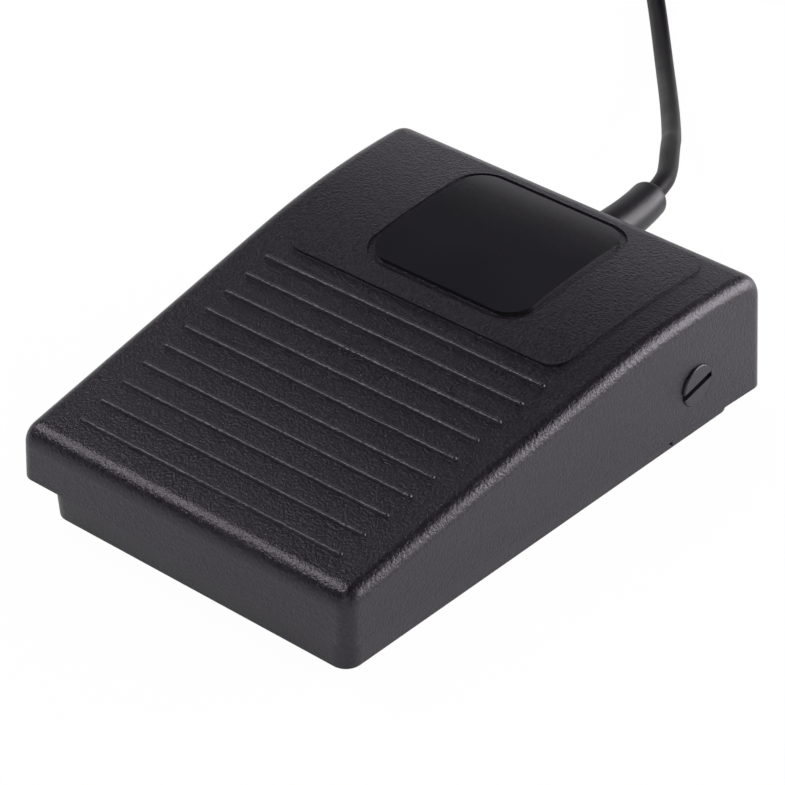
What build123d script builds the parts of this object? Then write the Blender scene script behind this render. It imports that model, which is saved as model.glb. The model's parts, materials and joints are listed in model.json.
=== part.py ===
from build123d import *
import os
from math import cos, pi, radians, sin, sqrt, tan

# Foot switch: a wedge-shaped pedal cover turns on two slotted pins above a base tray.
# X is to the right, Y to the cable end, Z up; the origin is on the floor under the pedal's middle.
# All lengths are in millimetres and all angles in degrees.

# Pedal cover, outside
pedal_length = 100.0
pedal_front_width = 68.9
side_taper = 2.4
wall_draft = 1.8
edge_radius = 2.5
front_edge_radius = 3.5
rear_edge_radius = 4.8
front_height = 18.6
ramp_angle = 7.95
ramp_run = 59.6
crown_radius = 160.0
rim_front_height = 9.35
rim_rear_height = 5.6
pedal_wall = 2.0
least_inner_radius = 0.3

# Grip ribs on the ramp
rib_first_setback = 7.2
rib_pitch = 5.1
rib_panel_gap = 3.0
rib_width = 1.1
rib_height = 0.5
rib_side_margin = 8.0

# Raised panel behind the ribs, and the label in its recess, both measured from the rear end
panel_rear_margin = 5.1
panel_length = 38.0
panel_front_width = 57.0
panel_taper = 2.4
panel_rise = 0.45
panel_corner_radius = 3.5
recess_rear_margin = 6.2
recess_length = 32.7
recess_width = 34.6
recess_depth = 0.35
recess_corner_radius = 6.0
label_margin = 1.3
label_thickness = 0.7

# Base tray
rim_overhang = 3.46
foot_standoff = 1.0
base_wall = 2.0
base_floor = 2.0
base_flare = 3.3
base_draft = 1.0
base_corner_radius = 3.4
base_bottom_radius = 0.4
base_front_height = 10.3
base_rear_height = 19.0

# Pivot pins
pivot_rear_setback = 17.8
pivot_height = 14.3
pin_head_diameter = 7.4
pin_running_clearance = 0.06
pin_head_rise = 0.3
pin_head_rounding = 0.3
pin_shank_diameter = 4.0
pin_shank_length = 6.5
pin_slot_width = 1.1
pin_slot_depth = 1.0
pin_slot_angle = 10.0
pin_boss_wall = 2.2
pin_boss_end = 1.5
pin_pad = 0.3
pivot_side_gap = 0.4
pedal_travel = 3.0

# Return springs and their seats
spring_setback = 20.0
spring_spacing = 34.0
spring_outer_diameter = 7.6
spring_wire = 0.8
spring_turns = 6.5
spring_clearance = 0.5
spring_seat_height = 2.235
spring_ring_height = 1.6
stop_clearance = 0.4
stub_length = 2.4
stop_spacing = 36.0
stop_width = 2.4

# Rubber feet
foot_diameter = 10.0
foot_recess = 0.6
foot_inset = 9.0

# Snap-action switch
switch_pivot_gap = 16.4
switch_length = 19.8
switch_width = 6.4
switch_height = 10.2
switch_lid = 0.9
switch_bottom_height = 7.5
switch_hole_spacing = 9.5
switch_hole_height = 2.9
switch_hole_diameter = 2.4
lever_length = 18.0
lever_width = 3.6
lever_thickness = 0.3
lever_rest_angle = 7.0
lever_hinge_inset = 3.3
lever_hinge_rise = 1.0
lever_pin_diameter = 1.0
plunger_reach = 8.2
plunger_length = 2.9
plunger_width = 1.5
plunger_clearance = 0.08
actuator_reach = 16.5
rest_gap = 0.3
actuator_width = 8.0
actuator_thickness = 3.0
terminal_length = 3.6
terminal_width = 3.0
terminal_thickness = 0.5
terminal_steps = (1.8, 10.6, 17.9)

# Switch bracket and its screws
bracket_wall = 2.6
bracket_gap = 0.05
bracket_margin = 3.0
switch_screw_diameter = 2.2
switch_screw_head = 4.0
switch_screw_head_height = 1.3
screw_bite = 2.2

# Cord, its strain relief and clamp
cord_diameter = 3.6
cord_height = 15.4
relief_flange_diameter = 9.6
relief_groove_diameter = 6.2
relief_inner_flange = 1.8
relief_collar = 1.4
relief_root_diameter = 7.8
relief_tip_diameter = 6.8
relief_straight = 12.1
relief_bend_radius = 52.0
relief_bend_angle = 12.0
relief_tip_rounding = 1.3
relief_fit = 0.08
notch_clearance = 1.3
clamp_rear_setback = 17.0
clamp_post_diameter = 6.4
clamp_post_spacing = 13.0
clamp_saddle_thickness = 3.0
clamp_bar_thickness = 2.2
clamp_bar_width = 6.0
clamp_screw_diameter = 2.5
clamp_screw_length = 8.0
clamp_screw_head = 5.0
clamp_screw_head_height = 1.8
clamp_hole_gap = 0.2
clamp_squeeze_gap = 0.1
sheath_rear_setback = 23.0
core_diameter = 1.1
core_gap = 0.1
core_colours = ("black", "white", "red")
core_bend_radius = 1.1
core_run_gap = 0.5

# Cord outside: its route after the strain relief's tip, then the coil and the bare core ends
cord_first_run = 4.3
cord_route = [
    (-3.8, 79.8, 14.9), (-10.8, 90.0, 13.2), (-14.3, 95.3, 10.6), (-25.0, 109.3, 6.6), (-38.7, 126.2, 2.5),
    (-52.7, 142.8, 1.8), (-62.0, 153.3, 1.8), (-68.4, 160.9, 1.9),
]
coil_turn_diameter = 39.0
coil_columns = 4
coil_rows = 4
tie_thickness = 0.5
tie_width = 7.0
tie_angle = 340.0
cord_end_angle = 90.0
cord_end_steps = ((7.0, -1.3), (14.0, -5.0), (21.0, -9.4), (28.0, -11.3))
core_end_steps = ((5.0, -0.5, 1.1), (12.0, -1.15, 2.2), (20.0, -1.25, 3.4))
core_tip_length = 5.0
core_tip_diameter = 0.9

deck = foot_standoff + base_floor
front_y = -pedal_length / 2
rear_y = pedal_length / 2
pivot_y = rear_y - pivot_rear_setback
slope = tan(radians(ramp_angle))
taper = tan(radians(side_taper))
draft = tan(radians(wall_draft))


def ramp_height(y):
    """Height of the plain ramp surface at a place along Y."""
    return front_height + (y - front_y) * slope


def half_width(y):
    """Half of the cover's width at the rim's level, at a place along Y."""
    return pedal_front_width / 2 + (y - front_y) * taper


def wall_x(y, z, inset=0.0):
    """Distance of the drafted side wall from the middle plane."""
    return half_width(y) - inset - (z - rim_rear_height) * draft


def across(profile):
    """Solid from a closed outline in the YZ plane, wider than the whole switch on both sides."""
    return extrude(Plane.YZ * profile, amount=pedal_front_width, both=True)


def outline(inset):
    """Plan outline of the pedal with sharp corners, moved in by an inset."""
    y0 = front_y + inset
    y1 = rear_y - inset
    x0 = half_width(y0) - inset
    x1 = half_width(y1) - inset
    return make_face(Polyline((-x0, y0), (x0, y0), (x1, y1), (-x1, y1), close=True))


def under_top(drop=0.0):
    """Everything below the pedal's top surface: the ramp and then the crown's arc."""
    margin = 10.0
    y0 = front_y - margin
    y1 = rear_y + margin
    ramp_end = front_y + ramp_run
    middle_y = ramp_end + crown_radius * sin(radians(ramp_angle))
    middle_z = ramp_height(ramp_end) - crown_radius * cos(radians(ramp_angle)) - drop

    def crown(y):
        return middle_z + sqrt(crown_radius ** 2 - (y - middle_y) ** 2)

    half_way = (ramp_end + y1) / 2
    edges = Line((y0, ramp_height(y0) - drop), (ramp_end, crown(ramp_end)))
    edges += ThreePointArc((ramp_end, crown(ramp_end)), (half_way, crown(half_way)), (y1, crown(y1)))
    edges += Polyline((y1, crown(y1)), (y1, -margin), (y0, -margin), (y0, ramp_height(y0) - drop))
    return across(make_face(edges))


def pedal_form(inset):
    """Outer form of the cover, from the rim's lowest level up to the rounded top, or one inside it."""
    walls = extrude(Pos(0, 0, rim_rear_height) * outline(inset), amount=pedal_length / 2, taper=wall_draft)
    body = (walls & under_top(inset / cos(radians(ramp_angle)))).solid()
    rear_top = body.faces().sort_by(Axis.Y)[-1].edges().sort_by(Axis.Z)[-1]
    body = fillet(rear_top, rear_edge_radius - inset).solid()
    front_top = body.faces().sort_by(Axis.Y)[0].edges().sort_by(Axis.Z)[-1]
    body = fillet(front_top, front_edge_radius - inset).solid()
    sides = [body.faces().sort_by(Axis.X)[0], body.faces().sort_by(Axis.X)[-1]]
    low = rim_rear_height + 0.01
    edges = [e for side in sides for e in side.edges() if e.bounding_box().max.Z > low]
    return fillet(edges, max(edge_radius - inset, least_inner_radius)).solid()


def below_rim():
    """Everything below the cover's sloping rim."""
    margin = 20.0
    rise = (rim_rear_height - rim_front_height) / pedal_length
    y0 = front_y - margin
    y1 = rear_y + margin
    z0 = rim_front_height - margin * rise
    z1 = rim_rear_height + margin * rise
    return across(make_face(Polyline((y0, -margin), (y1, -margin), (y1, z1), (y0, z0), close=True)))


def rounded_prism(x0, x1, y0, y1, radius):
    """Upright prism with a trapezium outline and rounded corners, through the whole top."""
    face = make_face(Polyline((-x0, y0), (x0, y0), (x1, y1), (-x1, y1), close=True))
    face = fillet(face.vertices(), radius)
    return extrude(face, amount=pedal_length)


def top_height(y, drop=0.0):
    """Height of the ramp and crown at a place along Y, before any rounding."""
    ramp_end = front_y + ramp_run
    if y <= ramp_end:
        return ramp_height(y) - drop
    middle_y = ramp_end + crown_radius * sin(radians(ramp_angle))
    middle_z = ramp_height(ramp_end) - crown_radius * cos(radians(ramp_angle))
    return middle_z + sqrt(crown_radius ** 2 - (y - middle_y) ** 2) - drop


def upright(radius, x, y, z0, z1):
    """Upright cylinder between two heights."""
    return Pos(x, y, (z0 + z1) / 2) * Cylinder(radius, z1 - z0)


def along_x(radius, x0, x1, y, z):
    """Cylinder lying along X."""
    return Pos((x0 + x1) / 2, y, z) * Rot(0, 90, 0) * Cylinder(radius, abs(x1 - x0))


def block(x0, x1, y0, y1, z0, z1):
    """Box between two corners."""
    return Pos((x0 + x1) / 2, (y0 + y1) / 2, (z0 + z1) / 2) * Box(x1 - x0, y1 - y0, z1 - z0)


def tray_inset(z):
    """How far the tray's wall stands inside the cover's outline, at a height above its shoulder."""
    return shoulder_inset + (z - rim_front_height) * tan(radians(base_draft))


# Places that several pieces share
skin = pedal_wall / cos(radians(ramp_angle))
outer_form = pedal_form(0)
inner_form = pedal_form(pedal_wall)
middle_form = pedal_form(pedal_wall / 2)
bore_radius = pin_head_diameter / 2 + pin_running_clearance
shoulder_inset = rim_overhang - (rim_front_height - foot_standoff) * tan(radians(base_flare))
tray_side_x = half_width(pivot_y) - tray_inset(pivot_height)
pin_seat_x = tray_side_x + pin_pad
pin_end_x = pin_seat_x - pin_shank_length
cover_boss_x = pin_seat_x + pivot_side_gap
spring_y = front_y + spring_setback
spring_xs = (-spring_spacing / 2, spring_spacing / 2)
spring_top = top_height(spring_y - spring_outer_diameter / 2, skin) - spring_seat_height
stub_end = spring_top - stub_length
travel_at_spring = (pivot_y - spring_y) * sin(radians(pedal_travel))
post_top = stub_end - travel_at_spring - stop_clearance
post_radius = spring_outer_diameter / 2 - spring_wire - spring_clearance
switch_y1 = pivot_y - switch_pivot_gap
switch_y0 = switch_y1 - switch_length
switch_top = switch_bottom_height + switch_height
hinge_y = switch_y1 - lever_hinge_inset
hinge_z = switch_top + lever_hinge_rise
actuator_y = hinge_y - actuator_reach
lever_top_at_actuator = hinge_z + actuator_reach * tan(radians(lever_rest_angle)) + lever_thickness / 2
plunger_y = hinge_y - plunger_reach
lever_swing = pedal_travel * (pivot_y - actuator_y) / actuator_reach
plunger_travel = plunger_reach * radians(lever_swing)
wall_outer_y = rear_y - tray_inset(cord_height)
wall_inner_y = wall_outer_y - base_wall
groove_y0 = wall_inner_y - relief_fit
groove_y1 = wall_outer_y + relief_fit
clamp_y = rear_y - clamp_rear_setback
sheath_y0 = rear_y - sheath_rear_setback
core_spacing = core_diameter + core_gap
core_run_pitch = core_diameter + core_run_gap
flange_y0 = groove_y0 - relief_inner_flange
panel_y = rear_y - panel_rear_margin - panel_length
recess_floor_lift = panel_rise - recess_depth
bracket_x0 = switch_width / 2 + bracket_gap
bracket_x1 = bracket_x0 + bracket_wall
switch_hole_z = switch_bottom_height + switch_hole_height
coil_width = coil_columns * cord_diameter
coil_height = coil_rows * cord_diameter
coil_outer_radius = (coil_turn_diameter + coil_width) / 2
outer_turn_radius = coil_outer_radius - cord_diameter / 2
coil_overlap_run = sqrt(coil_outer_radius ** 2 - outer_turn_radius ** 2)
relief_bend_y = groove_y1 + relief_collar + relief_straight


def grip_ribs():
    """Half-round beads across the ramp with round ends."""
    radius = rib_width / 2
    sink = radius - rib_height
    room = panel_y - rib_panel_gap - (front_y + rib_first_setback)
    beads = []
    for i in range(int(room / rib_pitch) + 1):
        y = front_y + rib_first_setback + i * rib_pitch
        half = half_width(y) - rib_side_margin
        z = ramp_height(y) - sink
        bead = along_x(radius, -half, half, y, z)
        for side in (-1, 1):
            bead += Pos(side * half, y, z) * Sphere(radius)
        beads.append(bead)
    return beads


def panel_prism():
    """Plan form of the raised panel: slightly wider to the rear, with round corners."""
    x0 = panel_front_width / 2
    x1 = x0 + panel_length * tan(radians(panel_taper))
    return rounded_prism(x0, x1, panel_y, panel_y + panel_length, panel_corner_radius)


def label_prism(margin):
    """Plan form of the label's recess, or of the label where a margin is given."""
    y1 = rear_y - recess_rear_margin - margin
    y0 = y1 - recess_length + 2 * margin
    x = recess_width / 2 - margin
    return rounded_prism(x, x, y0, y1, recess_corner_radius - margin)


def raised(lift):
    """The cover's outer form moved straight up."""
    return Pos(0, 0, lift) * outer_form


def both_sides(x0, x1):
    """The same stretch of X on the right and on the left, each from low to high."""
    return ((x0, x1), (-x1, -x0))


def pedal_cover():
    """Moulded cover: shell, raised panel, label recess, pin bores, seats, actuator, stops and ribs."""
    cover = outer_form - inner_form
    cover += (panel_prism() & raised(panel_rise)) - inner_form
    cover -= label_prism(0) - raised(recess_floor_lift)
    for x0, x1 in both_sides(cover_boss_x, pedal_front_width):
        cover += along_x(bore_radius + pin_boss_wall, x0, x1, pivot_y, pivot_height) & middle_form
    for x0, x1 in both_sides(tray_side_x, pedal_front_width):
        cover -= along_x(bore_radius, x0, x1, pivot_y, pivot_height)
    for x in spring_xs:
        seat = upright(spring_outer_diameter / 2 + spring_clearance, x, spring_y, spring_top, pedal_length)
        stub = upright(post_radius, x, spring_y, stub_end, pedal_length)
        cover += (seat + stub) & middle_form
    cover += actuator() & middle_form
    for stop in rest_stops():
        cover += stop & middle_form
    cover -= below_rim() + cable_notch()
    for bead in grip_ribs():
        cover += bead
    return cover.solid()


def actuator():
    """Rib under the cover that pushes the switch's lever, with a rounded nose."""
    nose = actuator_thickness / 2
    low = lever_top_at_actuator + rest_gap
    rib = block(-actuator_width / 2, actuator_width / 2, actuator_y - nose, actuator_y + nose, low, pedal_length)
    low_edges = rib.edges().filter_by(Axis.X).group_by(Axis.Z)[0]
    return fillet(low_edges, nose * 0.8)


def rest_stops():
    """Two ribs behind the pins that come to rest on the tray's rear wall."""
    low = base_rear_height + rest_gap
    stops = []
    for x in (-stop_spacing / 2, stop_spacing / 2):
        stops.append(block(x - stop_width / 2, x + stop_width / 2, wall_inner_y - base_wall, rear_y, low, pedal_length))
    return stops


def cable_notch():
    """Slot in the cover's rear wall, open at the rim, that clears the strain relief."""
    radius = relief_flange_diameter / 2 + notch_clearance
    slot = Pos(0, rear_y, cord_height) * Rot(90, 0, 0) * Cylinder(radius, 4 * pedal_wall)
    return slot + block(-radius, radius, rear_y - 2 * pedal_wall, rear_y + 2 * pedal_wall, 0, cord_height)


def label_plate():
    plate = label_prism(label_margin) & raised(recess_floor_lift + label_thickness)
    return (plate - raised(recess_floor_lift)).solid()


def tray_form(inset, bottom):
    """Outer or inner form of the tray: flared up to the shoulder level with the rim, then drawn in."""
    face = outline(shoulder_inset + inset)
    face = fillet(face.vertices(), base_corner_radius - inset)
    upper = extrude(face, amount=base_rear_height, taper=base_draft)
    lower = mirror(extrude(face, amount=rim_front_height - bottom, taper=base_flare), Plane.XY)
    return Pos(0, 0, rim_front_height) * (upper + lower)


def below_tray_rim():
    """Everything below the tray's raked rim."""
    margin = 10.0
    rise = (base_rear_height - base_front_height) / pedal_length
    y0 = front_y - margin
    y1 = rear_y + margin
    z0 = base_front_height - margin * rise
    z1 = base_rear_height + margin * rise
    return across(make_face(Polyline((y0, -margin), (y1, -margin), (y1, z1), (y0, z0), close=True)))


def foot_places():
    """Name and centre of each rubber foot."""
    places = {}
    for end, y in (("front", front_y + rim_overhang + foot_inset), ("rear", rear_y - rim_overhang - foot_inset)):
        x = half_width(y) - rim_overhang - foot_inset
        places[end + "_left"] = (-x, y)
        places[end + "_right"] = (x, y)
    return places


def clamp_post_xs():
    return (-clamp_post_spacing / 2, clamp_post_spacing / 2)


def switch_hole_ys():
    middle = (switch_y0 + switch_y1) / 2
    return (middle - switch_hole_spacing / 2, middle + switch_hole_spacing / 2)


def base_tray():
    """Moulded tray: raked walls, pin bosses, spring posts, switch bracket, clamp posts and cable slot."""
    outside = tray_form(0, foot_standoff)
    outside = fillet(outside.edges().group_by(Axis.Z)[0], base_bottom_radius)
    tray = (outside & below_tray_rim()) - tray_form(base_wall, deck)
    for x0, x1 in both_sides(pin_end_x - pin_boss_end, pin_seat_x):
        boss_radius = pin_shank_diameter / 2 + pin_boss_wall
        tray += along_x(boss_radius, x0, x1, pivot_y, pivot_height)
        tray += block(max(x0, -tray_side_x), min(x1, tray_side_x), pivot_y - boss_radius / 2,
                      pivot_y + boss_radius / 2, deck - base_floor / 2, pivot_height)
    for x0, x1 in both_sides(pin_end_x, pin_seat_x + 1):
        tray -= along_x(pin_shank_diameter / 2, x0, x1, pivot_y, pivot_height)
    for x in spring_xs:
        tray += upright(post_radius, x, spring_y, deck - base_floor / 2, post_top)
        tray += ring(spring_outer_diameter / 2 + spring_clearance, x, spring_y)
    tray += switch_bracket()
    tray += clamp_posts()
    tray -= rear_slot()
    for x, y in foot_places().values():
        tray -= upright(foot_diameter / 2, x, y, 0, foot_standoff + foot_recess)
    return tray.solid()


def ring(inner_radius, x, y):
    """Low ring that keeps a spring in place."""
    wall = base_wall / 2
    tall = upright(inner_radius + wall, x, y, deck - base_floor / 2, deck + spring_ring_height)
    return tall - upright(inner_radius, x, y, deck, deck + 2 * spring_ring_height)


def switch_bracket():
    """Upright plate beside the switch with two blind screw holes and a gusset."""
    y0 = switch_hole_ys()[0] - bracket_margin
    y1 = switch_hole_ys()[1] + bracket_margin
    plate = block(bracket_x0, bracket_x1, y0, y1, deck - base_floor / 2, switch_hole_z + bracket_margin)
    top_edges = plate.edges().filter_by(Axis.X).group_by(Axis.Z)[-1]
    plate = fillet(top_edges, bracket_margin * 0.8)
    middle = (y0 + y1) / 2
    foot = bracket_x1 + bracket_wall * 1.5
    gusset = Polyline((bracket_x1 - 0.5, deck - 1), (foot, deck - 1), (foot, deck),
                      (bracket_x1, switch_hole_z), (bracket_x1 - 0.5, switch_hole_z), close=True)
    gusset = extrude(Plane.XZ * make_face(gusset), amount=bracket_wall / 2, both=True)
    plate += Pos(0, middle, 0) * gusset
    for y in switch_hole_ys():
        plate -= along_x(switch_screw_diameter / 2, bracket_x0 - 1, bracket_x0 + screw_bite, y, switch_hole_z)
    return plate


def clamp_posts():
    """Two screw posts and the saddle between them that the sheath lies in."""
    top = cord_height - clamp_squeeze_gap / 2
    radius = clamp_post_diameter / 2
    posts = block(-clamp_post_spacing / 2, clamp_post_spacing / 2, clamp_y - clamp_saddle_thickness / 2,
                  clamp_y + clamp_saddle_thickness / 2, deck - base_floor / 2, top)
    for x in clamp_post_xs():
        posts += upright(radius, x, clamp_y, deck - base_floor / 2, top)
    for x in clamp_post_xs():
        posts -= upright(clamp_screw_diameter / 2, x, clamp_y, top - clamp_screw_length + clamp_bar_thickness,
                         top + clamp_screw_length)
    return posts - sheath_bore(clamp_y)


def sheath_bore(y):
    """Round channel along Y in which the sheath lies."""
    radius = cord_diameter / 2 + relief_fit
    return Pos(0, y, cord_height) * Rot(90, 0, 0) * Cylinder(radius, 4 * clamp_bar_width)


def rear_slot():
    """Open-topped slot in the tray's rear wall that the strain relief's groove drops into."""
    radius = relief_groove_diameter / 2 + relief_fit
    y0 = groove_y0 - relief_inner_flange
    y1 = groove_y1 + relief_collar
    slot = Pos(0, (y0 + y1) / 2, cord_height) * Rot(90, 0, 0) * Cylinder(radius, y1 - y0)
    return slot + block(-radius, radius, y0, y1, cord_height, cord_height + base_rear_height)


def pivot_pin():
    """Right-hand pin: its head turns in the cover's bore and its shank is screwed into the tray."""
    face_x = wall_x(pivot_y, pivot_height) + pin_head_rise
    pin = along_x(pin_head_diameter / 2, pin_seat_x, face_x, pivot_y, pivot_height)
    pin += along_x(pin_shank_diameter / 2, pin_end_x, pin_seat_x, pivot_y, pivot_height)
    rim = pin.faces().sort_by(Axis.X)[-1].edges()
    pin = fillet(rim, pin_head_rounding)
    slot = block(face_x - pin_slot_depth, face_x + 1, -pin_head_diameter, pin_head_diameter,
                 -pin_slot_width / 2, pin_slot_width / 2)
    pin -= Pos(0, pivot_y, pivot_height) * Rot(pin_slot_angle, 0, 0) * slot
    return pin.solid()


def return_spring(x):
    """Compression spring from the tray's floor to the seat under the cover."""
    radius = (spring_outer_diameter - spring_wire) / 2
    low = deck + spring_wire / 2
    height = spring_top - deck - spring_wire
    path = Helix(pitch=height / spring_turns, height=height, radius=radius)
    section = Plane(path @ 0, z_dir=path % 0) * Circle(spring_wire / 2)
    return Pos(x, spring_y, low) * sweep(section, path).solid()


def rubber_foot(x, y):
    foot = upright(foot_diameter / 2, x, y, 0, foot_standoff + foot_recess)
    return fillet(foot.edges().group_by(Axis.Z)[0], foot_standoff / 3).solid()


def switch_case():
    """Moulded case without its side lid, with the plunger's well and the lever's ears."""
    x0 = -switch_width / 2 + switch_lid
    case = block(x0, switch_width / 2, switch_y0, switch_y1, switch_bottom_height, switch_top)
    case = fillet(case.edges().filter_by(Axis.X), lever_thickness)
    ear = lever_pin_diameter
    case += block(-lever_width / 2 + ear, lever_width / 2 - ear, hinge_y - ear, hinge_y + ear, switch_top - 1,
                  hinge_z)
    case += along_x(ear, -lever_width / 2 + ear, lever_width / 2 - ear, hinge_y, hinge_z)
    case -= along_x(lever_pin_diameter / 2, -lever_width, lever_width, hinge_y, hinge_z)
    well = plunger_width + 2 * plunger_clearance
    case -= Pos(0, plunger_y, switch_top) * Box(well, well, 2 * plunger_length)
    for y in switch_hole_ys():
        case -= along_x(switch_hole_diameter / 2, -switch_width, switch_width, y, switch_hole_z)
    return case.solid()


def switch_lid_piece():
    lid = block(-switch_width / 2, -switch_width / 2 + switch_lid, switch_y0, switch_y1,
                switch_bottom_height, switch_top)
    lid = fillet(lid.edges().filter_by(Axis.X), lever_thickness)
    for y in switch_hole_ys():
        lid -= along_x(switch_hole_diameter / 2, -switch_width, switch_width, y, switch_hole_z)
    return lid.solid()


def switch_plunger():
    """Button under the lever; its top is a rounded nose just below the blade."""
    nose_top = hinge_z + plunger_reach * tan(radians(lever_rest_angle)) - lever_thickness
    low = switch_top - plunger_length + plunger_travel + plunger_clearance
    rod = block(-plunger_width / 2, plunger_width / 2, plunger_y - plunger_width / 2,
                plunger_y + plunger_width / 2, low, nose_top)
    return fillet(rod.edges().filter_by(Axis.X).group_by(Axis.Z)[-1], plunger_width / 3).solid()


def switch_lever():
    """Thin blade with two ears on the hinge pin, which is part of the lever."""
    blade = block(-lever_width / 2, lever_width / 2, -lever_length, lever_pin_diameter,
                  -lever_thickness / 2, lever_thickness / 2)
    blade = fillet(blade.edges().filter_by(Axis.Z).group_by(Axis.Y)[0], lever_width / 4)
    ear = lever_pin_diameter
    blade -= block(-lever_width / 2 + ear - 0.1, lever_width / 2 - ear + 0.1, -1.6 * ear, 2 * ear, -1, 1)
    for side in (-1, 1):
        x = side * (lever_width / 2 - ear / 4)
        blade += along_x(ear * 0.75, x - ear / 4, x + ear / 4, 0, 0)
    blade += along_x(lever_pin_diameter / 2 - 0.05, -lever_width / 2, lever_width / 2, 0, 0)
    blade = Rot(-lever_rest_angle, 0, 0) * blade
    return (Pos(0, hinge_y, hinge_z) * blade).solid()


def terminal(step):
    """Solder tab under the switch with a hole for the core."""
    y = switch_y0 + step
    low = switch_bottom_height - terminal_length
    tab = block(-terminal_thickness / 2, terminal_thickness / 2, y - terminal_width / 2,
                y + terminal_width / 2, low, switch_bottom_height)
    return fillet(tab.edges().filter_by(Axis.X).group_by(Axis.Z)[0], terminal_width / 4).solid()


def screw_head(radius, height):
    """Domed head with a cross recess, its seat at the origin, facing up."""
    head = Pos(0, 0, height / 2) * Cylinder(radius, height)
    head = fillet(head.edges().group_by(Axis.Z)[-1], height * 0.6)
    for turn in (0, 90):
        head -= Rot(0, 0, turn) * (Pos(0, 0, height) * Box(radius, radius / 4, height))
    return head


def switch_screws():
    """Two screws through the switch into the bracket."""
    screws = []
    for y in switch_hole_ys():
        shank = along_x(switch_screw_diameter / 2, -switch_width / 2, bracket_x0 + screw_bite, y, switch_hole_z)
        head = screw_head(switch_screw_head / 2, switch_screw_head_height)
        head = Pos(-switch_width / 2, y, switch_hole_z) * Rot(0, -90, 0) * head
        screws.append((shank + head).solid())
    return screws


def clamp_bar():
    """Bar across the sheath, screwed down on the two posts."""
    z0 = cord_height + clamp_squeeze_gap / 2
    z1 = z0 + clamp_bar_thickness
    bar = SlotOverall(clamp_post_spacing + clamp_post_diameter, clamp_bar_width)
    bar = extrude(Pos(0, clamp_y, z0) * bar, amount=clamp_bar_thickness)
    bar += block(-cord_diameter, cord_diameter, clamp_y - clamp_bar_width / 2, clamp_y + clamp_bar_width / 2,
                 z0, z1 + cord_diameter / 4)
    for x in clamp_post_xs():
        bar -= upright(clamp_screw_diameter / 2 + clamp_hole_gap, x, clamp_y, 0, 2 * z1)
    return (bar - sheath_bore(clamp_y)).solid()


def clamp_screws():
    screws = []
    seat = cord_height + clamp_squeeze_gap / 2 + clamp_bar_thickness
    for x in clamp_post_xs():
        shank = upright(clamp_screw_diameter / 2, x, clamp_y, seat - clamp_screw_length, seat)
        head = Pos(x, clamp_y, seat) * screw_head(clamp_screw_head / 2, clamp_screw_head_height)
        screws.append((shank + head).solid())
    return screws


def relief_point(share):
    """Point and heading on the strain relief's bent end, from 0 at the bend's start to 1 at the tip."""
    turn = radians(relief_bend_angle) * share
    x = -relief_bend_radius * (1 - cos(turn))
    y = relief_bend_y + relief_bend_radius * sin(turn)
    return Vector(x, y, cord_height), Vector(-sin(turn), cos(turn), 0)


def strain_relief():
    """Grooved plug in the tray's wall and a tapered sleeve that bends a little to the left."""
    y_root = groove_y1 + relief_collar
    middle_diameter = (relief_root_diameter + relief_tip_diameter) / 2
    steps = ((flange_y0, relief_flange_diameter), (groove_y0, relief_flange_diameter),
             (groove_y0, relief_groove_diameter), (groove_y1, relief_groove_diameter),
             (groove_y1, relief_flange_diameter), (y_root, relief_flange_diameter),
             (y_root, relief_root_diameter), (relief_bend_y, middle_diameter))
    points = [(0, flange_y0)] + [(d / 2, y) for y, d in steps] + [(0, relief_bend_y)]
    plug = revolve(make_face(Polyline(*points, close=True)), Axis.Y)
    rings = []
    for share in (0, 0.5, 1):
        place, heading = relief_point(share)
        diameter = middle_diameter + (relief_tip_diameter - middle_diameter) * share
        rings.append(Plane(place, x_dir=(0, 0, 1), z_dir=heading) * Circle(diameter / 2))
    tip = loft(rings).solid()
    tip = fillet(tip.faces().sort_by(Axis.Y)[-1].edges(), relief_tip_rounding)
    return (Pos(0, 0, cord_height) * plug + tip).solid()


def inner_sheath():
    """End of the cord's sheath inside the tray, from the strain relief through the clamp."""
    length = flange_y0 - sheath_y0
    middle = (flange_y0 + sheath_y0) / 2
    return (Pos(0, middle, cord_height) * Rot(90, 0, 0) * Cylinder(cord_diameter / 2, length)).solid()


def tube(points, radii, diameter):
    """Tube along straight runs joined by tangent arcs."""
    path = FilletPolyline(*points, radius=radii)
    section = Plane(path @ 0, z_dir=path % 0) * Circle(diameter / 2)
    return sweep(section, path).solid()


def core_inside(index):
    """One insulated core from the sheath's end, down behind the switch, to the side of its terminal."""
    y_end = switch_y0 + terminal_steps[index]
    z_end = switch_bottom_height - terminal_length * 0.6
    x_start = (index - 1) * core_spacing
    x_side = -switch_width / 2 - core_run_pitch * (1 - index)
    points = [
        (x_start, sheath_y0, cord_height), (x_start, sheath_y0 - 2 * core_diameter, cord_height),
        (x_side, switch_y1 + 4 * core_diameter, z_end + 4 * core_diameter),
        (x_side, switch_y1 + core_diameter, z_end),
        (x_side, y_end, z_end), (-terminal_thickness / 2, y_end, z_end),
    ]
    return tube(points, core_bend_radius, core_diameter)


def route_radii(points):
    """Arc radius at each inner point of a route, as large as its shorter run allows."""
    radii = []
    for a, b, c in zip(points, points[1:], points[2:]):
        first = Vector(*b) - Vector(*a)
        second = Vector(*c) - Vector(*b)
        turn = radians(first.get_angle(second))
        radii.append(0.45 * min(first.length, second.length) / tan(turn / 2))
    return radii


def route_tube(name, points, diameter):
    """Tube along a route, with its arcs' radii, its length and its volume test printed."""
    radii = route_radii(points)
    path = FilletPolyline(*points, radius=radii)
    solid = tube(points, radii, diameter)
    by_section = path.length * pi * diameter ** 2 / 4
    print(name, "radii", [round(r, 1) for r in radii], "length", round(path.length, 1),
          "volume over section times length", round(solid.volume / by_section, 4))
    return solid


def free_cord():
    """Cord from the strain relief's tip to the coil."""
    tip, heading = relief_point(1)
    points = [tuple(tip), tuple(tip + heading * cord_first_run)] + cord_route
    return route_tube("cord", points, cord_diameter)


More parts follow.
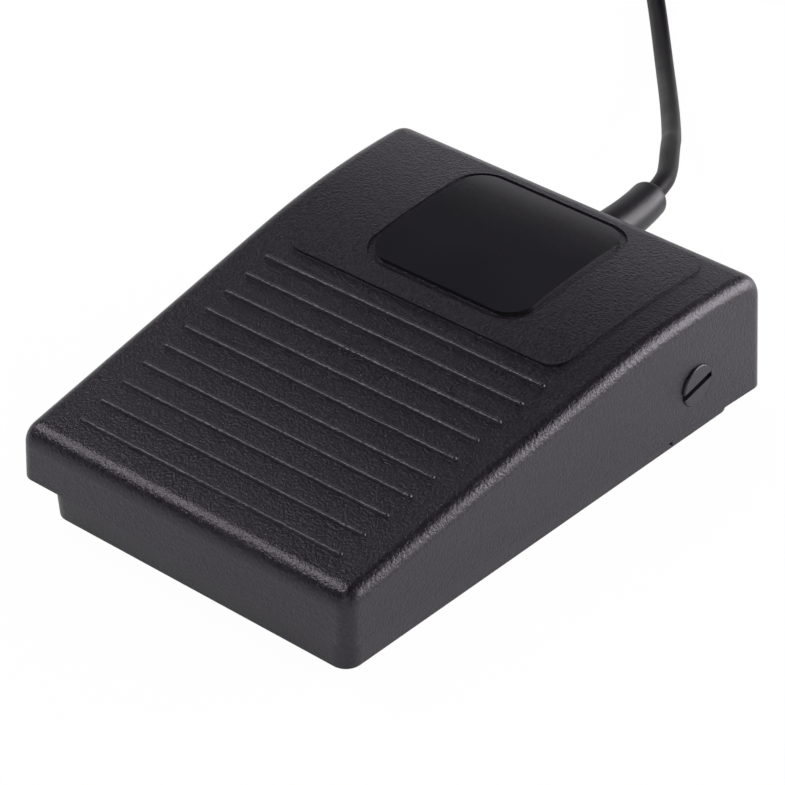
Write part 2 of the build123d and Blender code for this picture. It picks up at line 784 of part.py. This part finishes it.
def coil_middle():
    """Coil's middle on the floor: its outer turn is in line with the cord's last run, on its right side."""
    end = Vector(*cord_route[-1])
    run = end - Vector(*cord_route[-2])
    run = Vector(run.X, run.Y, 0).normalized()
    middle = end + run * coil_overlap_run + Vector(run.Y, -run.X, 0) * outer_turn_radius
    return Vector(middle.X, middle.Y, 0)


def cord_coil():
    """Outer form of the wound cord: a flat ring with rounded corners that lies on its tie."""
    section = RectangleRounded(coil_width, coil_height, cord_diameter / 2)
    section = Pos(coil_turn_diameter / 2, tie_thickness + coil_height / 2) * section
    return (Pos(coil_middle()) * revolve(Plane.XZ * section, Axis.Z)).solid()


def coil_tie():
    """Soft strap round the coil's section."""
    inner = RectangleRounded(coil_width, coil_height, cord_diameter / 2)
    outer = RectangleRounded(coil_width + 2 * tie_thickness, coil_height + 2 * tie_thickness,
                             cord_diameter / 2 + tie_thickness)
    strap = Pos(coil_turn_diameter / 2, tie_thickness + coil_height / 2) * (outer - inner)
    arc = 360 * tie_width / (pi * coil_turn_diameter)
    strap = revolve(Plane.XZ * strap, Axis.Z, revolution_arc=arc)
    return (Pos(coil_middle()) * Rot(0, 0, tie_angle) * strap).solid()


def cord_end_run():
    """Heading in which the cord's end leaves the coil, and the direction to its right."""
    outward = Vector(cos(radians(cord_end_angle)), sin(radians(cord_end_angle)), 0)
    return Vector(outward.Y, -outward.X, 0), -outward


def cord_end_points():
    """Route of the cord's last stretch, off the coil's top row and down to the floor."""
    run, inward = cord_end_run()
    start = coil_middle() - inward * outer_turn_radius + run * coil_overlap_run
    start = start + Vector(0, 0, tie_thickness + coil_height - cord_diameter / 2)
    points = [tuple(start)]
    for along, rise in cord_end_steps:
        points.append(tuple(start + run * along + Vector(0, 0, rise)))
    return points


def core_end_points(index):
    """Route of one insulated core from the stripped end of the sheath to its own end."""
    run, inward = cord_end_run()
    points = cord_end_points()
    end = Vector(*points[-1])
    heading = (end - Vector(*points[-2])).normalized()
    side = inward * (index - 1)
    route = [tuple(end + side * core_spacing), tuple(end + side * core_spacing + heading * core_diameter)]
    for along, rise, spread in core_end_steps:
        route.append(tuple(end + run * along + side * spread + Vector(0, 0, rise)))
    return route


def core_tips():
    """Tinned tips of the three cores, where their insulation is stripped off."""
    tips = []
    for index in range(len(core_colours)):
        points = core_end_points(index)
        end = Vector(*points[-1])
        heading = (end - Vector(*points[-2])).normalized()
        tip = extrude(Plane(end, z_dir=heading) * Circle(core_tip_diameter / 2), amount=core_tip_length)
        tips.append(tip.solid())
    return tips


def make_all():
    pieces = {
        "pedal_cover": pedal_cover(),
        "label_plate": label_plate(),
        "base_tray": base_tray(),
        "pivot_pin_left": mirror(pivot_pin(), Plane.YZ),
        "pivot_pin_right": pivot_pin(),
        "return_spring_left": return_spring(spring_xs[0]),
        "return_spring_right": return_spring(spring_xs[1]),
        "switch_case": switch_case(),
        "switch_lid": switch_lid_piece(),
        "switch_plunger": switch_plunger(),
        "switch_lever": switch_lever(),
        "switch_screws": switch_screws(),
        "clamp_bar": clamp_bar(),
        "clamp_screws": clamp_screws(),
        "strain_relief": strain_relief(),
        "inner_sheath": inner_sheath(),
    }
    for name, (x, y) in foot_places().items():
        pieces["foot_" + name] = rubber_foot(x, y)
    for name, step in zip(("common", "normally_open", "normally_closed"), terminal_steps):
        pieces["terminal_" + name] = terminal(step)
    for index, colour in enumerate(core_colours):
        pieces["core_" + colour] = core_inside(index)
        pieces["core_end_" + colour] = route_tube("core end", core_end_points(index), core_diameter)
    pieces["core_tips"] = core_tips()
    pieces["cord"] = free_cord()
    pieces["cord_coil"] = cord_coil()
    pieces["cord_end"] = route_tube("cord end", cord_end_points(), cord_diameter)
    pieces["coil_tie"] = coil_tie()
    return pieces


pieces = make_all()
print("pivot", round(pivot_y, 3), pivot_height, "lever hinge", round(hinge_y, 3), round(hinge_z, 3),
      "lever per pedal", round(lever_swing / pedal_travel, 4), "plunger travel", round(plunger_travel, 4))
os.makedirs("parts", exist_ok=True)
for name, piece in pieces.items():
    if isinstance(piece, list):
        piece = Compound(children=piece)
    export_step(piece, "parts/" + name + ".step")
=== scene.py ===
import json
from math import atan2, cos, pi, radians, sin, sqrt

import bpy
from mathutils import Matrix, Vector


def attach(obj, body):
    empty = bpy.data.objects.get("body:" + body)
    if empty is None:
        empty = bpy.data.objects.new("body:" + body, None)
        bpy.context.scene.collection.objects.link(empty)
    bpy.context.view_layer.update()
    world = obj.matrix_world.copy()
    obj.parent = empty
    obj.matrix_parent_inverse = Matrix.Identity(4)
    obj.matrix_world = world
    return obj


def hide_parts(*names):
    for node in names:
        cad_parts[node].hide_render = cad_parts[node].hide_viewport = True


# Camera: where it looks, from what direction, how far and how long its lens is
target = Vector((-0.001875, 0.002925, 0.011))
camera_azimuth = radians(40.733)
camera_elevation = radians(35.546)
camera_roll = radians(-0.686)
camera_distance = 0.58211
picture_width = 785
focal_pixels = 3586.0
sensor_width = 36.0

# Cord: the route's points up to the coil, as in the part's source, in metres
cord_diameter = 0.0036
relief_tip = Vector((-0.001136, 0.071307, 0.0154))
relief_tip_heading = Vector((-0.2079, 0.9781, 0.0))
cord_first_run = 0.0043
cord_route = [
    (-0.0038, 0.0798, 0.0149), (-0.0108, 0.0900, 0.0132), (-0.0143, 0.0953, 0.0106),
    (-0.0250, 0.1093, 0.0066), (-0.0387, 0.1262, 0.0025), (-0.0527, 0.1428, 0.0018),
    (-0.0620, 0.1533, 0.0018), (-0.0684, 0.1609, 0.0019),
]
coil_turn_diameter = 0.039
coil_columns = 4
coil_rows = 4
tie_thickness = 0.0005
points_per_turn = 16
column_change = 0.25
cord_end_angle = radians(90)
cord_end_steps = ((0.007, -0.0013), (0.014, -0.0050), (0.021, -0.0094), (0.028, -0.0113))
last_turn = coil_columns * coil_rows - 1
coil_outer_radius = (coil_turn_diameter + coil_columns * cord_diameter) / 2
outer_turn_radius = coil_outer_radius - cord_diameter / 2
coil_overlap_run = sqrt(coil_outer_radius ** 2 - outer_turn_radius ** 2)

# Studio: the even light, and the angles above the horizon between which the white that reflections
# show gives way to a dim ceiling
world_colour = (0.92, 0.94, 1.0)
world_strength = 0.3
ceiling_strength = 0.04
ceiling_starts = radians(5)
ceiling_full = radians(20)
floor_half_size = 2.0
floor_drop = 0.0001
floor_reflectance = 0.85
floor_roughness = 0.9
floor_seen_share = 0.98
floor_reflected_share = 0.5

# Soft boxes: name, place, width, height and power in watts. Overhead to the left, behind on the right,
# beside the camera, and a faint one behind
lights_aim = (0.0, 0.0, 0.015)
light_colour = (1.0, 0.97, 1.0)
soft_boxes = (
    ("overhead_box", (-0.48, -0.14, 0.74), 0.34, 0.36, 3.6),
    ("right_box", (0.44, 0.52, 0.24), 0.60, 0.46, 6.8),
    ("fill_box", (0.34, -0.72, 0.46), 0.50, 0.40, 1.1),
    ("rear_box", (-0.53, 0.75, 0.36), 0.80, 0.22, 0.5),
)

# Moulded plastic: the tint of its shine and the size of its worn areas, in cycles per metre
plastic_tint = (0.96, 0.90, 1.0)
wear_scale = 55.0

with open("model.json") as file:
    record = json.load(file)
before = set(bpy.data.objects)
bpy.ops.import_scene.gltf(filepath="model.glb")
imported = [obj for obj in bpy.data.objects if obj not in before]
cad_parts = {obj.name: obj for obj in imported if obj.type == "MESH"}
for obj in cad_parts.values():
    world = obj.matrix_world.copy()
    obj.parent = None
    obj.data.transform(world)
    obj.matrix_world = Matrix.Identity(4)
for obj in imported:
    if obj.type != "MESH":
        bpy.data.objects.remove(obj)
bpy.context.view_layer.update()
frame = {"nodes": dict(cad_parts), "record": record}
nodes = frame["nodes"]


def socket_value(node, name, value):
    node.inputs[name].default_value = value


def new_material(name, colour, roughness, specular=0.5):
    """Principled material with the constant values on the shader's own sockets."""
    material = bpy.data.materials.new(name)
    material.use_nodes = True
    shader = material.node_tree.nodes["Principled BSDF"]
    socket_value(shader, "Base Color", (*colour, 1))
    socket_value(shader, "Roughness", roughness)
    socket_value(shader, "Specular IOR Level", specular)
    return material, shader


def add_noise(material, scale, detail=4.0, roughness=0.6):
    """Noise texture in the object's own coordinates, in cycles per metre."""
    tree = material.node_tree
    place = tree.nodes.new("ShaderNodeTexCoord")
    noise = tree.nodes.new("ShaderNodeTexNoise")
    socket_value(noise, "Scale", scale)
    socket_value(noise, "Detail", detail)
    socket_value(noise, "Roughness", roughness)
    tree.links.new(place.outputs["Object"], noise.inputs["Vector"])
    return noise


def add_bump(material, shader, height, distance, strength=1.0):
    """Bump from a height output, with its depth in metres."""
    tree = material.node_tree
    bump = tree.nodes.new("ShaderNodeBump")
    socket_value(bump, "Distance", distance)
    socket_value(bump, "Strength", strength)
    tree.links.new(height, bump.inputs["Height"])
    tree.links.new(bump.outputs["Normal"], shader.inputs["Normal"])
    return bump


def add_colour_mix(material, shader, factor, low, high, dark, light):
    """Base colour that moves from dark to light as a factor goes from low to high."""
    tree = material.node_tree
    ramp = tree.nodes.new("ShaderNodeValToRGB")
    ramp.color_ramp.elements[0].position = low
    ramp.color_ramp.elements[0].color = (*dark, 1)
    ramp.color_ramp.elements[1].position = high
    ramp.color_ramp.elements[1].color = (*light, 1)
    tree.links.new(factor, ramp.inputs["Fac"])
    tree.links.new(ramp.outputs["Color"], shader.inputs["Base Color"])


def add_roughness_range(material, shader, factor, low, high):
    """Roughness that varies with a factor."""
    tree = material.node_tree
    span = tree.nodes.new("ShaderNodeMapRange")
    socket_value(span, "From Min", 0.3)
    socket_value(span, "From Max", 0.7)
    socket_value(span, "To Min", low)
    socket_value(span, "To Max", high)
    tree.links.new(factor, span.inputs["Value"])
    tree.links.new(span.outputs["Result"], shader.inputs["Roughness"])


def grained_plastic(name, dark, light, rough_low, rough_high, grain_scale, grain_depth, specular=0.5):
    """Black moulded plastic with a spark-eroded grain and faint wear."""
    material, shader = new_material(name, dark, rough_high, specular)
    socket_value(shader, "Specular Tint", (*plastic_tint, 1))
    grain = add_noise(material, grain_scale, 3.0, 0.65)
    wear = add_noise(material, wear_scale, 5.0, 0.6)
    add_bump(material, shader, grain.outputs["Fac"], grain_depth)
    add_colour_mix(material, shader, grain.outputs["Fac"], 0.38, 0.62, dark, light)
    add_roughness_range(material, shader, wear.outputs["Fac"], rough_low, rough_high)
    return material


def smooth_film(name, dark, light):
    """Glossy film with a very faint waviness and hair marks."""
    material, shader = new_material(name, dark, 0.16)
    waves = add_noise(material, 60.0, 1.0, 0.4)
    marks = add_noise(material, 1500.0, 3.0, 0.6)
    add_bump(material, shader, waves.outputs["Fac"], 0.00002, 0.5)
    add_colour_mix(material, shader, waves.outputs["Fac"], 0.3, 0.75, dark, light)
    add_roughness_range(material, shader, marks.outputs["Fac"], 0.13, 0.18)
    return material


def soft_rubber(name, dark, light, rough_low=0.4, rough_high=0.55, specular=0.5):
    """Satin rubber or soft plastic with faint mottling and dust."""
    material, shader = new_material(name, dark, rough_high, specular)
    fine = add_noise(material, 2600.0, 3.0, 0.6)
    mottle = add_noise(material, 120.0, 4.0, 0.6)
    add_bump(material, shader, fine.outputs["Fac"], 0.00003, 0.7)
    add_colour_mix(material, shader, mottle.outputs["Fac"], 0.35, 0.7, dark, light)
    add_roughness_range(material, shader, mottle.outputs["Fac"], rough_low, rough_high)
    return material


def drawn_metal(name, dark, light, rough_low, rough_high):
    """Metal with fine marks from drawing or stamping and small changes of tone."""
    material, shader = new_material(name, light, rough_high)
    socket_value(shader, "Metallic", 1.0)
    marks = add_noise(material, 3000.0, 3.0, 0.7)
    tone = add_noise(material, 400.0, 4.0, 0.6)
    add_bump(material, shader, marks.outputs["Fac"], 0.00002, 0.6)
    add_colour_mix(material, shader, tone.outputs["Fac"], 0.3, 0.7, dark, light)
    add_roughness_range(material, shader, tone.outputs["Fac"], rough_low, rough_high)
    return material


def shiny_plastic(name, dark, light):
    """Small smooth plastic piece with moulding marks."""
    material, shader = new_material(name, light, 0.35)
    fine = add_noise(material, 1500.0, 3.0, 0.6)
    tone = add_noise(material, 250.0, 4.0, 0.6)
    add_bump(material, shader, fine.outputs["Fac"], 0.00002, 0.5)
    add_colour_mix(material, shader, tone.outputs["Fac"], 0.3, 0.7, dark, light)
    add_roughness_range(material, shader, tone.outputs["Fac"], 0.28, 0.42)
    return material


def dress_nodes():
    """Give every CAD node the material of its slot."""
    pedal = grained_plastic("pedal_plastic", (0.0020, 0.0015, 0.0034), (0.0135, 0.0116, 0.0172), 0.27, 0.33,
                            2000.0, 0.00013)
    tray = grained_plastic("tray_plastic", (0.0040, 0.0032, 0.0054), (0.0120, 0.0105, 0.0145), 0.30, 0.38,
                           2000.0, 0.00009)
    pin = grained_plastic("pin_plastic", (0.0050, 0.0042, 0.0062), (0.0125, 0.0110, 0.0150), 0.30, 0.38,
                          2200.0, 0.00006)
    inner = grained_plastic("inner_plastic", (0.02, 0.02, 0.022), (0.028, 0.027, 0.03), 0.4, 0.5,
                            2600.0, 0.00004)
    satin = soft_rubber("cord_sheath", (0.005, 0.0042, 0.0052), (0.008, 0.0068, 0.0082), 0.36, 0.48, 0.13)
    steel = drawn_metal("bright_steel", (0.42, 0.42, 0.42), (0.58, 0.58, 0.57), 0.25, 0.4)
    by_slot = {
        "pedal_plastic": pedal,
        "label_gloss": smooth_film("label_gloss", (0.0105, 0.0098, 0.0118), (0.0135, 0.0125, 0.015)),
        "tray_plastic": tray,
        "pin_plastic": pin,
        "spring_steel": steel,
        "foot_rubber": soft_rubber("foot_rubber", (0.02, 0.02, 0.02), (0.03, 0.03, 0.03), 0.6, 0.8),
        "switch_plastic": inner,
        "switch_lid_plastic": grained_plastic("switch_lid_plastic", (0.045, 0.04, 0.04), (0.06, 0.055, 0.053),
                                              0.4, 0.5, 2600.0, 0.00003),
        "plunger_plastic": shiny_plastic("plunger_plastic", (0.30, 0.03, 0.02), (0.36, 0.04, 0.03)),
        "lever_steel": steel,
        "screw_steel": drawn_metal("screw_steel", (0.36, 0.36, 0.37), (0.50, 0.50, 0.50), 0.3, 0.45),
        "terminal_brass": drawn_metal("terminal_brass", (0.55, 0.38, 0.14), (0.66, 0.48, 0.20), 0.25, 0.4),
        "core_black": shiny_plastic("core_black", (0.012, 0.012, 0.012), (0.018, 0.018, 0.018)),
        "core_white": shiny_plastic("core_white", (0.62, 0.61, 0.57), (0.70, 0.69, 0.66)),
        "core_red": shiny_plastic("core_red", (0.38, 0.02, 0.015), (0.46, 0.03, 0.02)),
        "tinned_copper": drawn_metal("tinned_copper", (0.50, 0.49, 0.46), (0.66, 0.65, 0.62), 0.3, 0.5),
        "cord_sheath": satin,
        "tie_rubber": soft_rubber("tie_rubber", (0.014, 0.014, 0.014), (0.02, 0.02, 0.02), 0.5, 0.65),
        "relief_rubber": soft_rubber("relief_rubber", (0.006, 0.0050, 0.0072), (0.009, 0.0078, 0.0104),
                                     0.36, 0.46, 0.36),
        "clamp_plastic": inner,
    }
    for part in frame["record"]["subparts"]:
        node = nodes[part["node"]]
        node.data.materials.clear()
        node.data.materials.append(by_slot[part["material_slot"]])
    return satin


def set_camera():
    """Camera at the photograph's angle, with its picture centred on the target."""
    back = Vector((sin(camera_azimuth) * cos(camera_elevation),
                   -cos(camera_azimuth) * cos(camera_elevation),
                   sin(camera_elevation)))
    level_right = Vector((cos(camera_azimuth), sin(camera_azimuth), 0))
    level_up = back.cross(level_right)
    right = cos(camera_roll) * level_right + sin(camera_roll) * level_up
    up = -sin(camera_roll) * level_right + cos(camera_roll) * level_up
    data = bpy.data.cameras.new("camera")
    data.sensor_width = sensor_width
    data.lens = focal_pixels * sensor_width / picture_width
    data.clip_start = 0.01
    camera = bpy.data.objects.new("camera", data)
    turn = Matrix((right, up, back)).transposed().to_4x4()
    camera.matrix_world = Matrix.Translation(target + back * camera_distance) @ turn
    bpy.context.scene.collection.objects.link(camera)
    bpy.context.scene.camera = camera


def coil_place():
    """Coil's middle on the floor, and the angle from it at which the cord comes in."""
    end = Vector(cord_route[-1])
    run = end - Vector(cord_route[-2])
    run = Vector((run.x, run.y, 0)).normalized()
    to_middle = Vector((run.y, -run.x, 0))
    middle = end + run * coil_overlap_run + to_middle * outer_turn_radius
    return Vector((middle.x, middle.y, 0)), atan2(-to_middle.y, -to_middle.x)


def winding(turn, share):
    """Column and row of the cord in one turn; at the end of its turn it moves to the next place."""
    change = min(max((share - 1 + column_change) / column_change, 0), 1)
    change = change * change * (3 - 2 * change)
    row, place = divmod(turn, coil_columns)
    column = place if row % 2 == 0 else coil_columns - 1 - place
    if place == coil_columns - 1:
        return column, row + change
    return column + (change if row % 2 == 0 else -change), row


def coil_points():
    """The coil's turns, row on row: inwards in one row and outwards in the next."""
    middle, start_angle = coil_place()
    last_part = ((start_angle - cord_end_angle) % (2 * pi)) / (2 * pi)
    turns = last_turn + last_part
    steps = round(turns * points_per_turn)
    points = []
    for step in range(1, steps):
        travelled = turns * step / steps
        turn = int(travelled)
        column, row = winding(turn, travelled - turn)
        if turn == last_turn:
            column, row = 0, coil_rows - 1
        radius = outer_turn_radius - column * cord_diameter
        angle = start_angle - 2 * pi * travelled
        height = tie_thickness + cord_diameter / 2 + row * cord_diameter
        points.append(middle + Vector((radius * cos(angle), radius * sin(angle), height)))
    return points


def end_points():
    """The cord's last stretch, off the coil's top row and down to the floor."""
    outward = Vector((cos(cord_end_angle), sin(cord_end_angle), 0))
    run = Vector((outward.y, -outward.x, 0))
    start = coil_place()[0] + outward * outer_turn_radius + run * coil_overlap_run
    start.z = tie_thickness + (coil_rows - 0.5) * cord_diameter
    return [start] + [start + run * along + Vector((0, 0, rise)) for along, rise in cord_end_steps]


def free_cord(material):
    """The whole cord as one smooth spline, from the strain relief through the coil to its stripped end."""
    points = [relief_tip, relief_tip + relief_tip_heading * cord_first_run]
    points += [Vector(p) for p in cord_route]
    points += coil_points() + end_points()
    curve = bpy.data.curves.new("supply_cord", "CURVE")
    curve.dimensions = "3D"
    curve.bevel_depth = cord_diameter / 2
    curve.bevel_resolution = 6
    curve.resolution_u = 8
    curve.use_fill_caps = True
    spline = curve.splines.new("NURBS")
    spline.points.add(len(points) - 1)
    for spot, point in zip(spline.points, points):
        spot.co = (*point, 1)
    spline.order_u = 3
    spline.use_endpoint_u = True
    cord = bpy.data.objects.new("supply_cord", curve)
    bpy.context.scene.collection.objects.link(cord)
    curve.materials.append(material)
    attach(cord, "base")
    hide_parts("cord", "cord_coil", "cord_end")


def soft_box(name, place, width, height, power):
    """Area light at a place, turned to the object."""
    data = bpy.data.lights.new(name, "AREA")
    data.shape = "RECTANGLE"
    data.size = width
    data.size_y = height
    data.energy = power
    data.color = light_colour
    light = bpy.data.objects.new(name, data)
    light.location = place
    light.rotation_euler = (Vector(place) - Vector(lights_aim)).to_track_quat("Z", "Y").to_euler()
    bpy.context.scene.collection.objects.link(light)


def add_math(tree, operation, first, second):
    """Math node on a link and a second link or number, clamped to the range from 0 to 1."""
    node = tree.nodes.new("ShaderNodeMath")
    node.operation = operation
    node.use_clamp = True
    tree.links.new(first, node.inputs[0])
    if isinstance(second, float):
        node.inputs[1].default_value = second
    else:
        tree.links.new(second, node.inputs[1])
    return node.outputs[0]


def mix_for_camera(tree, plain, shown, output, seen_share, reflected_share):
    """Mix in what the camera sees, directly, through glass and in reflections; gives the light path's node."""
    path = tree.nodes.new("ShaderNodeLightPath")
    direct = add_math(tree, "ADD", path.outputs["Is Camera Ray"], path.outputs["Is Transmission Ray"])
    direct = add_math(tree, "MULTIPLY", direct, seen_share)
    reflected = add_math(tree, "MULTIPLY", path.outputs["Is Glossy Ray"], reflected_share)
    mix = tree.nodes.new("ShaderNodeMixShader")
    tree.links.new(add_math(tree, "ADD", direct, reflected), mix.inputs["Fac"])
    tree.links.new(plain, mix.inputs[1])
    tree.links.new(shown, mix.inputs[2])
    tree.links.new(mix.outputs[0], output)
    return path


def set_world():
    """White behind everything, which reflections show up to a dim ceiling, and an even light."""
    world = bpy.data.worlds.new("studio")
    bpy.context.scene.world = world
    world.use_nodes = True
    tree = world.node_tree
    plain = tree.nodes["Background"]
    socket_value(plain, "Color", (*world_colour, 1))
    socket_value(plain, "Strength", world_strength)
    white = tree.nodes.new("ShaderNodeBackground")
    socket_value(white, "Color", (1, 1, 1, 1))
    path = mix_for_camera(tree, plain.outputs[0], white.outputs[0],
                          tree.nodes["World Output"].inputs["Surface"], 1.0, 1.0)
    direction = tree.nodes.new("ShaderNodeTexCoord")
    split = tree.nodes.new("ShaderNodeSeparateXYZ")
    fall = tree.nodes.new("ShaderNodeMapRange")
    socket_value(fall, "From Min", sin(ceiling_starts))
    socket_value(fall, "From Max", sin(ceiling_full))
    socket_value(fall, "To Min", 1.0)
    socket_value(fall, "To Max", ceiling_strength)
    tree.links.new(direction.outputs["Generated"], split.inputs[0])
    tree.links.new(split.outputs["Z"], fall.inputs["Value"])
    strength = add_math(tree, "MAXIMUM", fall.outputs["Result"], path.outputs["Is Camera Ray"])
    tree.links.new(strength, white.inputs["Strength"])


def lay_floor():
    """Plain white floor that keeps a faint shadow of the object."""
    half = floor_half_size
    corners = [(-half, -half, 0), (half, -half, 0), (half, half, 0), (-half, half, 0)]
    mesh = bpy.data.meshes.new("floor")
    mesh.from_pydata(corners, [], [(0, 1, 2, 3)])
    floor = bpy.data.objects.new("floor", mesh)
    floor.location.z = -floor_drop
    bpy.context.scene.collection.objects.link(floor)
    material = bpy.data.materials.new("floor_white")
    material.use_nodes = True
    tree = material.node_tree
    shader = tree.nodes["Principled BSDF"]
    socket_value(shader, "Base Color", (*[floor_reflectance] * 3, 1))
    socket_value(shader, "Roughness", floor_roughness)
    glow = tree.nodes.new("ShaderNodeEmission")
    socket_value(glow, "Color", (1, 1, 1, 1))
    socket_value(glow, "Strength", 1.0)
    mix_for_camera(tree, shader.outputs[0], glow.outputs[0],
                   tree.nodes["Material Output"].inputs["Surface"], floor_seen_share, floor_reflected_share)
    mesh.materials.append(material)


set_camera()
set_world()
lay_floor()
for box in soft_boxes:
    soft_box(*box)
free_cord(dress_nodes())
bpy.context.scene.view_settings.view_transform = "Standard"
